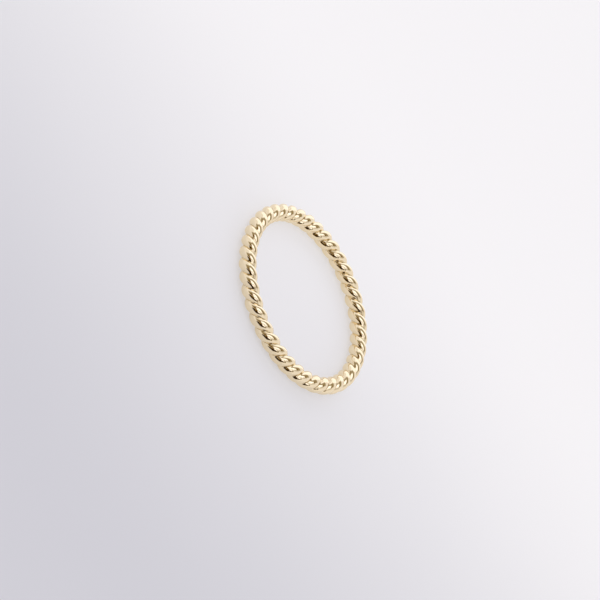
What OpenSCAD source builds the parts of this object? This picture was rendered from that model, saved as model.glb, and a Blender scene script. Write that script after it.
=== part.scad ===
// Rope twist ring: two gold wires wound round each other and closed into a band.
// Each wire has a flat side that faces the other wire, and a round back that shows.
// The ring lies on its side, with the finger hole upright along Z and its lowest crests at z = 0.

/* [Ring] */
// Inside diameter, between the crests that touch the finger
finger_d = 17.3; // [14:0.1:22]

/* [Twisted wires] */
// Height of each wire, from its flat side to its crest
wire_high = 0.94; // [0.7:0.02:1.1]
// Width of each wire where it is widest
wire_wide = 1.44; // [1:0.02:1.8]
// Height of the round back, from the widest line to the crest
back_high = 0.64; // [0.56:0.02:0.9]
// Length of one full turn of the twist, along the middle of the band
lay = 3; // [2:0.1:8]
// Gap between the flat sides of the two wires
wire_gap = 0.02; // [0.02:0.01:0.1]

/* [Smoothness] */
// Flats round the back of each wire
back_flats = 10; // [6:2:10]
// Slices of each wire in one full turn of the twist
turn_slices = 16; // [8:8:16]

/* [Hidden] */
NODES = ["strand_1", "strand_2"];
gold_colour = "#dcc08a";

// The wires wind round a circle, the core, that runs through the middle of the band
band_r = wire_gap / 2 + wire_high;
core_r = finger_d / 2 + band_r;

// Whole turns that fit round the core, so that each wire meets its own start
turns = floor(2 * PI * core_r / lay);
slices = turns * turn_slices;

// Directions at an angle round the ring: away from the finger, and upward
function outward(angle) = [cos(angle), sin(angle), 0];
up = [0, 0, 1];

// From the core to the crest of a wire that has wound by some angle, and the way across it
function side(angle, wound) = cos(wound) * outward(angle) + sin(wound) * up;
function across(angle, wound) = cos(wound) * up - sin(wound) * outward(angle);

// Section of a wire, as distance from the core and distance across
// The back is part of an ellipse, and the flat side has one more corner in its middle
widest = band_r - back_high;
edge_angle = acos((wire_gap / 2 - widest) / back_high);
section = [
    for (step = [0 : back_flats])
        let (turn = edge_angle * (2 * step / back_flats - 1))
        [widest + back_high * cos(turn), wire_wide / 2 * sin(turn)],
    [wire_gap / 2, 0]];
corners = len(section);

// Corners of one slice, in the plane that cuts straight through the band
function slice_corners(slice, start) =
    let (angle = 360 * slice / slices)
    let (wound = turns * angle + start)
    [for (point = section)
        core_r * outward(angle) + band_r * up + point[0] * side(angle, wound) + point[1] * across(angle, wound)];

// Number of a corner, counted on past the last slice and round the wire
function corner(slice, place) = slice % slices * corners + place % corners;

// Two triangles for each face between one slice and the next
// Both halves of the flat side are split outward from the core, so that the two wires match
wire_faces = [for (slice = [0 : slices - 1], place = [0 : corners - 1])
    let (near_a = corner(slice, place), near_b = corner(slice, place + 1))
    let (far_a = corner(slice + 1, place), far_b = corner(slice + 1, place + 1))
    each place < corners - 1
        ? [[near_a, near_b, far_a], [near_b, far_b, far_a]]
        : [[near_a, near_b, far_b], [near_a, far_b, far_a]]];

// A closed wire that starts at the given angle round the core
module twisted_wire(start) {
    wire_points = [for (slice = [0 : slices - 1]) each slice_corners(slice, start)];
    polyhedron(points = wire_points, faces = wire_faces, convexity = 10);
}

// First wire, outermost where the ring crosses the X axis
module strand_1() {
    color(gold_colour) twisted_wire(0);
}

// Second wire, always across the core from the first
module strand_2() {
    color(gold_colour) twisted_wire(360 / len(NODES));
}

strand_1();
strand_2();
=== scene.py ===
import math

import bpy
from mathutils import Matrix, Vector


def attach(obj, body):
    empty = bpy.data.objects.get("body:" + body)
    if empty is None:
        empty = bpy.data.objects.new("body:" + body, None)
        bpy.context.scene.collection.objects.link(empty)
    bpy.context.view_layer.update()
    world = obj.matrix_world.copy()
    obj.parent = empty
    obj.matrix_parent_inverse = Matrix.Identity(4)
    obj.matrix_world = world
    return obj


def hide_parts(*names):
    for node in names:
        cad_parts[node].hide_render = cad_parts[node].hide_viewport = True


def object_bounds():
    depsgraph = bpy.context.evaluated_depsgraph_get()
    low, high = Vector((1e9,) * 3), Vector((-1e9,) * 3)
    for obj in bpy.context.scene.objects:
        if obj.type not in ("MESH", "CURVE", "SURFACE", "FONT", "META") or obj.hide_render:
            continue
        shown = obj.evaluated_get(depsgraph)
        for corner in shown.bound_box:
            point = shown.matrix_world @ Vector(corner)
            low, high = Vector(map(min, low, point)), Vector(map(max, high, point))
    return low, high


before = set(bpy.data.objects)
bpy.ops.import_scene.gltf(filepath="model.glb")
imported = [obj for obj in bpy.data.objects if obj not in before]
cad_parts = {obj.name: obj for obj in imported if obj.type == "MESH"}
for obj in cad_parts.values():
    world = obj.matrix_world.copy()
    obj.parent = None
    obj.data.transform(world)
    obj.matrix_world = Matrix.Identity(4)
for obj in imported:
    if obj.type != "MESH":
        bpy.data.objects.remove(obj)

packed_low, packed_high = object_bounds()


# The two twisted wires
# Each one is a single wire of 14 carat yellow gold with a round back and a flat side. The two are twisted
# left-handed round each other, flat side to flat side, bent round a mandrel and soldered into a closed band.
# Polishing leaves the crests bright, while fine lines and dullness stay in the grooves.

twist_turns = 20
wire_wide = 1.44e-3

# Height of a wire's round back, from its widest line to its crest, and the gap between the two flat sides
back_high = 0.64e-3
wire_gap = 0.006e-3

# Width over which solder and polish round the bottom of the groove
groove_filling = 0.18e-3

# The middle line of the band is a circle round the finger, and both wires wind round it
band_radius = (packed_high.z - packed_low.z) / 2
band_middle = packed_low.z + band_radius
core_radius = packed_high.x - band_radius

# Fineness of the mesh, and the share of a slice's corners that lie on the flat side
slices_in_a_turn = 64
corners_round_a_wire = 56
flat_share = 1 / 6

# Edges that bend more than this stay sharp, as where the flat side meets the round back
sharp_bend = math.radians(50)

# Points closer together than this are one corner, as where a slice or the wire meets its own start
same_spot = 1e-7


class Value:
    """A number or a vector that a node gives. Python's operators on it add Math or Vector Math nodes."""

    def __init__(self, tree, socket):
        self.tree = tree
        self.socket = socket
        self.is_vector = socket.type in ("VECTOR", "RGBA")

    def calc(self, operation, *parts, output=0):
        vectors = [part for part in parts if isinstance(part, tuple) or getattr(part, "is_vector", False)]
        kind = "ShaderNodeVectorMath" if vectors else "ShaderNodeMath"
        return self.tree.add(kind, {"operation": operation}, dict(enumerate(parts)), output)

    def __add__(self, other):
        return self.calc("ADD", self, other)

    __radd__ = __add__

    def __sub__(self, other):
        return self.calc("SUBTRACT", self, other)

    def __rsub__(self, other):
        return self.calc("SUBTRACT", other, self)

    def __mul__(self, other):
        return self.calc("MULTIPLY", self, other)

    __rmul__ = __mul__

    def __truediv__(self, other):
        return self.calc("DIVIDE", self, other)

    def __rtruediv__(self, other):
        return self.calc("DIVIDE", other, self)

    def __neg__(self):
        return self * -1

    def __abs__(self):
        return self.calc("ABSOLUTE", self)

    def root(self):
        return self.calc("SQRT", self)

    def floor(self):
        return self.calc("FLOOR", self)

    def above(self, limit):
        return self.calc("GREATER_THAN", self, limit)

    def at_least(self, limit):
        return self.calc("MAXIMUM", self, limit)

    def at_most(self, limit):
        return self.calc("MINIMUM", self, limit)

    def larger_of(self, other, blend):
        """The larger of two values, with a smooth change from one to the other."""
        return self.calc("SMOOTH_MAX", self, other, blend)

    def cosine(self):
        return self.calc("COSINE", self)

    def sine(self):
        return self.calc("SINE", self)

    def arcsine(self):
        return self.calc("ARCSINE", self)

    def turned_from(self, ahead):
        """The angle of a direction, from its parts sideways and ahead."""
        return self.calc("ARCTAN2", self, ahead)

    def along(self, direction):
        """How far a vector reaches along a direction."""
        return self.calc("DOT_PRODUCT", self, tuple(direction), output="Value")


class Tree:
    """A tree of nodes for a material, a world or a shape, filled by one method."""

    def __init__(self, node_tree):
        self.node_tree = node_tree

    def add(self, kind, settings=None, sockets=None, output=0):
        """Adds a node, with its settings first and then its sockets, and gives one of its outputs."""
        node = self.node_tree.nodes.new(kind)
        for name, setting in (settings or {}).items():
            setattr(node, name, setting)
        for name, given in (sockets or {}).items():
            socket = node.inputs[name]
            if isinstance(given, Value):
                self.node_tree.links.new(given.socket, socket)
            elif socket.type == "VECTOR" and isinstance(given, (int, float)):
                socket.default_value = (given, given, given)
            else:
                socket.default_value = given
        return Value(self, node.outputs[output]) if node.outputs else None

    def noise(self, vector, scale, detail):
        return self.add("ShaderNodeTexNoise", None, {"Vector": vector, "Scale": scale, "Detail": detail})

    def rise(self, value, start, end):
        """Goes smoothly from 0 to 1 while a value goes from start to end."""
        reach = {"Value": value, "From Min": start, "From Max": end, "To Min": 0, "To Max": 1}
        return self.add("ShaderNodeMapRange", {"interpolation_type": "SMOOTHSTEP"}, reach)

    def mix(self, share, colour, other_colour):
        """Goes from one colour to another as the share goes from 0 to 1."""
        # Several sockets of this node share a name, so those for colours go by their numbers
        first, second, mixed = 6, 7, 2
        sockets = {"Factor": share, first: colour, second: other_colour}
        return self.add("ShaderNodeMix", {"data_type": "RGBA"}, sockets, mixed)

    def bump(self, height):
        return self.add("ShaderNodeBump", None, {"Height": height, "Strength": 1, "Distance": 1})


def empty_tree(owner):
    """Turns on the nodes of a material or a world and clears them."""
    owner.use_nodes = True
    owner.node_tree.nodes.clear()
    return Tree(owner.node_tree)


def polished_gold():
    """Pale yellow gold: bright crests, fine drawing lines along the wire, and duller, browner grooves."""
    crest_colour = (0.925, 0.797, 0.562, 1)
    warm_colour = (0.935, 0.785, 0.53, 1)
    groove_colour = (0.91, 0.765, 0.515, 1)

    # Where the finish of the groove and that of the crest end, from 0 in the groove to 1 on the crest
    groove_end = 0.45
    crest_end = 0.55

    # Roughness of the polish, and what the grooves, crests, fine marks and warmer patches change in it
    polish = 0.065
    groove_dullness = 0.08
    crest_shine = 0.02
    mark_change = 0.06
    patch_change = 0.05

    # Spots of each noise pattern in a metre, and drawing lines in the height of a wire's back
    line_scale = 330
    wave_scale = 900
    mark_scale = 9000
    patch_scale = 260
    lines_across = 10

    # Heights in metres, and the share of the drawing lines that polishing leaves outside the grooves
    line_high = 0.4e-6
    mark_high = 0.12e-6
    wave_high = 6e-6
    lines_left = 0.35

    material = bpy.data.materials.new("polished_gold")
    gold = empty_tree(material)
    place = gold.add("ShaderNodeTexCoord", output="Object")
    facing = gold.add("ShaderNodeAttribute", {"attribute_name": "facing"}, output="Fac")
    section = gold.add("ShaderNodeAttribute", {"attribute_name": "section"}, output="Vector")
    groove = gold.rise(facing, groove_end, 0)
    crest = gold.rise(facing, crest_end, 1)

    # The drawing die leaves fine lines along the wire, and the buffing wheel leaves waves about a millimetre
    # long, with marks of a tenth of that. The gold is warmer in patches of some 4 mm
    lines = gold.noise(section * lines_across + place * line_scale, 1, detail=2)
    waves = gold.noise(place, wave_scale, detail=1)
    marks = gold.noise(place, mark_scale, detail=3)
    patches = gold.noise(place, patch_scale, detail=3)

    colour = gold.mix(groove, gold.mix(patches, crest_colour, warm_colour), groove_colour)

    # A noise pattern lies round one half, so these two add nothing on the whole
    spread = (marks - 0.5) * mark_change + (patches - 0.5) * patch_change
    roughness = polish + groove * groove_dullness - crest * crest_shine + spread
    line_depth = lines * (lines_left + groove * (1 - lines_left)) * line_high
    height = line_depth + marks * mark_high + waves * wave_high
    look = {"Base Color": colour, "Metallic": 1, "Roughness": roughness, "Normal": gold.bump(height)}
    shader = gold.add("ShaderNodeBsdfPrincipled", None, look)
    gold.add("ShaderNodeOutputMaterial", None, {"Surface": shader})
    return material


def twisted_wire_tree():
    """Lays a grid out as slices of the wire, each wound a little further round the band's middle line."""
    group = bpy.data.node_groups.new("twisted_wire", "GeometryNodeTree")
    inputs = {
        "Turns": "NodeSocketInt",
        "Slices": "NodeSocketInt",
        "Corners": "NodeSocketInt",
        "Start": "NodeSocketFloat",
        "Core radius": "NodeSocketFloat",
        "Band radius": "NodeSocketFloat",
        "Band middle": "NodeSocketFloat",
        "Back high": "NodeSocketFloat",
        "Wire wide": "NodeSocketFloat",
        "Flat side": "NodeSocketFloat",
        "Groove filling": "NodeSocketFloat",
        "Finish": "NodeSocketMaterial",
    }
    for name, kind in inputs.items():
        group.interface.new_socket(name=name, in_out="INPUT", socket_type=kind)
    group.interface.new_socket(name="Wire", in_out="OUTPUT", socket_type="NodeSocketGeometry")
    wire = Tree(group)
    entry = group.nodes.new("NodeGroupInput")
    given = {name: Value(wire, entry.outputs[name]) for name in inputs}
    back = given["Back high"]

    # Each slice is a row of the grid, and both its ends are the same corner
    index = wire.add("GeometryNodeInputIndex")
    row_length = given["Corners"] + 1
    row = (index / row_length).floor()
    corner = index - row * row_length

    # Angle round the ring, and the angle that the wire has wound round the band's middle line
    angle = row / given["Slices"] * math.tau
    wound = angle * given["Turns"] + given["Start"]
    outward = wire.add("ShaderNodeCombineXYZ", None, {"X": angle.cosine(), "Y": angle.sine()})
    up = wire.add("ShaderNodeCombineXYZ", None, {"Z": 1})
    side = outward * wound.cosine() + up * wound.sine()
    across = up * wound.cosine() - outward * wound.sine()

    # Direction of a corner, seen from the band's middle line: the round back is the half turn in front
    turn = corner / given["Corners"] * math.tau - math.pi
    bearing = (turn / (2 - 2 * flat_share)).at_most(math.pi / 2).at_least(-math.pi / 2)
    facing = bearing.cosine()
    centre = given["Band radius"] - back

    def reach(cosine):
        """How far the ellipse of a wire's back reaches in a direction of which the cosine is given."""
        stretch = back / given["Wire wide"] * 2
        bend = cosine * cosine + (1 - cosine * cosine) * stretch * stretch
        away = centre * cosine
        room = back * back - centre * centre
        return (away + (away * away + bend * room).root()) / bend

    # Toward the groove the wire runs smoothly into the ellipse of the other wire, as solder makes it
    from_core = reach(facing).larger_of(reach(-facing), given["Groove filling"])

    # The last corners follow the flat side from both edges to its middle
    from_middle = ((math.pi - abs(turn)) / (math.pi * flat_share)).at_most(1)
    high = (from_core * facing).at_least(given["Flat side"])
    sideways = from_core * bearing.sine() * from_middle
    middle = outward * given["Core radius"] + up * given["Band middle"]
    spot = middle + side * high + across * sideways
    section = wire.add("ShaderNodeCombineXYZ", None, {"X": high, "Y": sideways}) / back

    # The mesh keeps where a spot lies on the section: facing is 1 on the crest and 0 in the groove
    grid = {"Size X": 1, "Size Y": 1, "Vertices X": given["Slices"] + 1, "Vertices Y": row_length}
    skin = wire.add("GeometryNodeMeshGrid", None, grid)
    for name, kind, value in (("facing", "FLOAT", facing), ("section", "FLOAT_VECTOR", section)):
        mark = {"Geometry": skin, "Name": name, "Value": value}
        skin = wire.add("GeometryNodeStoreNamedAttribute", {"data_type": kind, "domain": "POINT"}, mark)
    skin = wire.add("GeometryNodeSetPosition", None, {"Geometry": skin, "Position": spot})
    skin = wire.add("GeometryNodeMergeByDistance", None, {"Geometry": skin, "Distance": same_spot})
    skin = wire.add("GeometryNodeSetShadeSmooth", None, {"Geometry": skin, "Shade Smooth": True})
    bend_of_edge = wire.add("GeometryNodeInputMeshEdgeAngle", output="Unsigned Angle")
    edges = {"Geometry": skin, "Selection": bend_of_edge.above(sharp_bend), "Shade Smooth": False}
    skin = wire.add("GeometryNodeSetShadeSmooth", {"domain": "EDGE"}, edges)
    skin = wire.add("GeometryNodeRealizeInstances", None, {"Geometry": skin})
    skin = wire.add("GeometryNodeSetMaterial", None, {"Geometry": skin, "Material": given["Finish"]})
    wire.add("NodeGroupOutput", None, {"Wire": skin})
    return group


def twist_wire(name, group, values):
    """Makes one wire from the tree and turns it into a plain mesh."""
    wire = bpy.data.objects.new(name, bpy.data.meshes.new(name))
    bpy.context.scene.collection.objects.link(wire)
    twist = wire.modifiers.new("twist", "NODES")
    twist.node_group = group
    identifiers = {item.name: item.identifier for item in group.interface.items_tree}
    for size, value in values.items():
        twist[identifiers[size]] = value
    evaluated = wire.evaluated_get(bpy.context.evaluated_depsgraph_get())
    plain_mesh = bpy.data.meshes.new_from_object(evaluated)
    wire.modifiers.clear()
    wire.data = plain_mesh
    plain_mesh.name = name
    return wire


wire_sizes = {
    "Turns": twist_turns,
    "Slices": twist_turns * slices_in_a_turn,
    "Corners": corners_round_a_wire,
    "Core radius": core_radius,
    "Band radius": band_radius,
    "Band middle": band_middle,
    "Back high": back_high,
    "Wire wide": wire_wide,
    "Flat side": wire_gap / 2,
    "Groove filling": groove_filling,
    "Finish": polished_gold(),
}
wire_tree = twisted_wire_tree()

# The second wire starts half a turn round the band's middle line from the first
for number, start in ((1, 0.0), (2, math.pi)):
    wire = twist_wire(f"gold_wire_{number}", wire_tree, {"Start": start, **wire_sizes})
    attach(wire, "root")
    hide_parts(f"strand_{number}")


# Camera
# It looks at the ring as the photo does: 31.9 degrees above the plane of the ring and from 0.53 m away, with
# a long lens, and it is rolled so that the band stands upright in the picture.

lens = 300.0
sensor_width = 36.0
picture_width = 600
core_in_pixels = 91.0
ring_centre_x = 303.8
ring_centre_y = 298.9
tilt = math.radians(31.9)
swing = math.radians(-3.4)
roll = math.radians(69.1)

pixel = core_radius / core_in_pixels
distance = pixel * picture_width * lens / sensor_width
ring_middle = Vector((0, 0, band_middle))
toward_camera = Matrix.Rotation(swing, 3, "Z") @ Vector((0, -math.cos(tilt), math.sin(tilt)))
look = (-toward_camera).to_track_quat("-Z", "Y").to_matrix() @ Matrix.Rotation(roll, 3, "Z")
picture_right = look.col[0]
picture_up = look.col[1]
aim_right = (picture_width / 2 - ring_centre_x) * pixel
aim_up = (ring_centre_y - picture_width / 2) * pixel

camera_data = bpy.data.cameras.new("camera")
camera_data.lens = lens
camera_data.sensor_width = sensor_width
camera_data.clip_start = 0.01
camera_data.clip_end = 10
camera = bpy.data.objects.new("camera", camera_data)
camera.rotation_mode = "QUATERNION"
camera.rotation_quaternion = look.to_quaternion()
camera.location = ring_middle + toward_camera * distance + picture_right * aim_right + picture_up * aim_up
bpy.context.scene.collection.objects.link(camera)
bpy.context.scene.camera = camera


# The white surface that the ring lies on
# A smooth sheet of matt white card, larger than the picture, level and just under the ring's lowest crests.
# Its colour has painted shade: it is painted darker toward the left and lower left of the picture, where it
# also looks faintly blue.

card_half = 0.6
card_clearance = 0.002e-3
painted_shade_white = (0.61, 0.61, 0.66, 1)
painted_lit_white = (0.89, 0.885, 0.905, 1)

# How the painted light on the card grows for each pixel to the right and upward in the picture, and where the
# card is painted dimmest and brightest on that scale
growth_right = 0.0006
growth_up = 0.00043
growth = (picture_right * growth_right + picture_up * growth_up) / pixel
dimmest = -0.22
brightest = 0.14

# Broad patches, fewer than twenty to a metre, change the painted light a little, and the card has a fine
# grain
patch_scale = 18
patch_light = 0.04
grain_scale = 1800
grain_high = 4e-6

# The card is lit from above, and it also glows with painted light of its own, which keeps the ring's shadow
# light
share_from_above = 0.6
painted_card_glow = 0.58


def matt_white():
    """White card with a fine grain, whose painted light grows along the picture and varies a little in
    patches, and which glows with painted light of its own.
    """
    material = bpy.data.materials.new("matt_white_card")
    card = empty_tree(material)
    place = card.add("ShaderNodeTexCoord", output="Object")
    # Painted light and shade: the card's colour is lighter toward the right and top of the picture and darker
    # toward the lower left
    light = place.along(growth) + (card.noise(place, patch_scale, detail=2) - 0.5) * patch_light
    white = card.mix(card.rise(light, dimmest, brightest), painted_shade_white, painted_lit_white)
    look = {
        "Base Color": white * share_from_above,
        "Roughness": 0.75,
        "Specular IOR Level": 0.2,
        # Painted light: the card glows by itself, though no lamp lights it from below
        "Emission Color": white,
        "Emission Strength": painted_card_glow,
        "Normal": card.bump(card.noise(place, grain_scale, detail=3) * grain_high),
    }
    shader = card.add("ShaderNodeBsdfPrincipled", None, look)
    card.add("ShaderNodeOutputMaterial", None, {"Surface": shader})
    return material


card_mesh = bpy.data.meshes.new("white_card")
card_level = packed_low.z - card_clearance
card_signs = ((-1, -1), (1, -1), (1, 1), (-1, 1))
card_corners = [(x * card_half, y * card_half, card_level) for x, y in card_signs]
card_mesh.from_pydata(card_corners, [], [(0, 1, 2, 3)])
card_mesh.materials.append(matt_white())
white_card = bpy.data.objects.new("white_card", card_mesh)
bpy.context.scene.collection.objects.link(white_card)


# Light tent
# A round tent of white cloth stands over the ring and is lit from outside, so that soft light comes from all
# sides and the gold mirrors pale cloth. Some panels are lit more strongly. The slit that the camera looks
# through, and the folds beside it, stay dark and give the brown crescents beside the grooves.

# Each panel's middle lies some degrees round the picture's upright, counted from the camera toward the right,
# and some degrees up. The panel has half a width and half a height in degrees, leans to the right by so many
# degrees for each one that it rises, and is so much brighter or darker than the cloth
tent_panels = {
    "slit": {"round": -10, "up": -15, "half_wide": 52, "half_high": 30, "lean": 0, "glow": -1},
    "fold over slit": {"round": 5, "up": 40, "half_wide": 35, "half_high": 20, "lean": -0.3, "glow": -0.6},
    "glint in slit": {"round": 0, "up": 5, "half_wide": 10, "half_high": 10, "lean": 0, "glow": 0.45},
    "window": {"round": 29, "up": 10, "half_wide": 17, "half_high": 31, "lean": 0.15, "glow": 1.15},
    "window frame": {"round": 35, "up": 5, "half_wide": 40, "half_high": 30, "lean": -0.5, "glow": -0.25},
    "left pane": {"round": 25, "up": -20, "half_wide": 4, "half_high": 20, "lean": -0.4, "glow": 1.05},
    "right pane": {"round": 55, "up": 15, "half_wide": 8, "half_high": 18, "lean": -0.2, "glow": 1.2},
    "dim corner": {"round": 70, "up": 25, "half_wide": 25, "half_high": 32, "lean": -0.2, "glow": -0.6},
    "back": {"round": 190, "up": 15, "half_wide": 65, "half_high": 55, "lean": -1.5, "glow": 0.35},
}

# Width of a panel's soft edge, in degrees
soft_edge = 10

# Light through the cloth is a little bluer where there is more of it, and the darkest folds pass some brown
cloth_colour = (0.9, 0.88, 0.91)
panel_tint = (0.93, 1.0, 1.22)
darkest_colour = (0.03, 0.015, 0.005)


def light_tent():
    """Surroundings of pale cloth with all the panels, which overlap and add up."""
    world = bpy.data.worlds.new("light_tent")
    tent = empty_tree(world)
    ray = tent.add("ShaderNodeTexCoord", output="Generated")
    ahead = ray.along(toward_camera)
    rightward = ray.along(picture_right)
    ray_up = ray.along(picture_up).arcsine() * math.degrees(1)

    def within(distance, half):
        """1 where a distance from a panel's middle is less than half its size, and 0 further out."""
        edge = soft_edge / 2
        return tent.rise(distance + half, -edge, edge) * tent.rise(half - distance, -edge, edge)

    glow = cloth_colour
    for panel in tent_panels.values():
        cosine = math.cos(math.radians(panel["round"]))
        sine = math.sin(math.radians(panel["round"]))
        panel_ahead = ahead * cosine + rightward * sine
        panel_right = rightward * cosine - ahead * sine
        upright = ray_up - panel["up"]
        sideways = panel_right.turned_from(panel_ahead) * math.degrees(1) - upright * panel["lean"]
        on_panel = within(sideways, panel["half_wide"]) * within(upright, panel["half_high"])
        glow = on_panel * panel["glow"] * panel_tint + glow
    glow = glow.at_least(darkest_colour)
    background = tent.add("ShaderNodeBackground", None, {"Color": glow, "Strength": 1})
    tent.add("ShaderNodeOutputWorld", None, {"Surface": background})
    return world


bpy.context.scene.world = light_tent()
bpy.context.scene.view_settings.view_transform = "Standard"
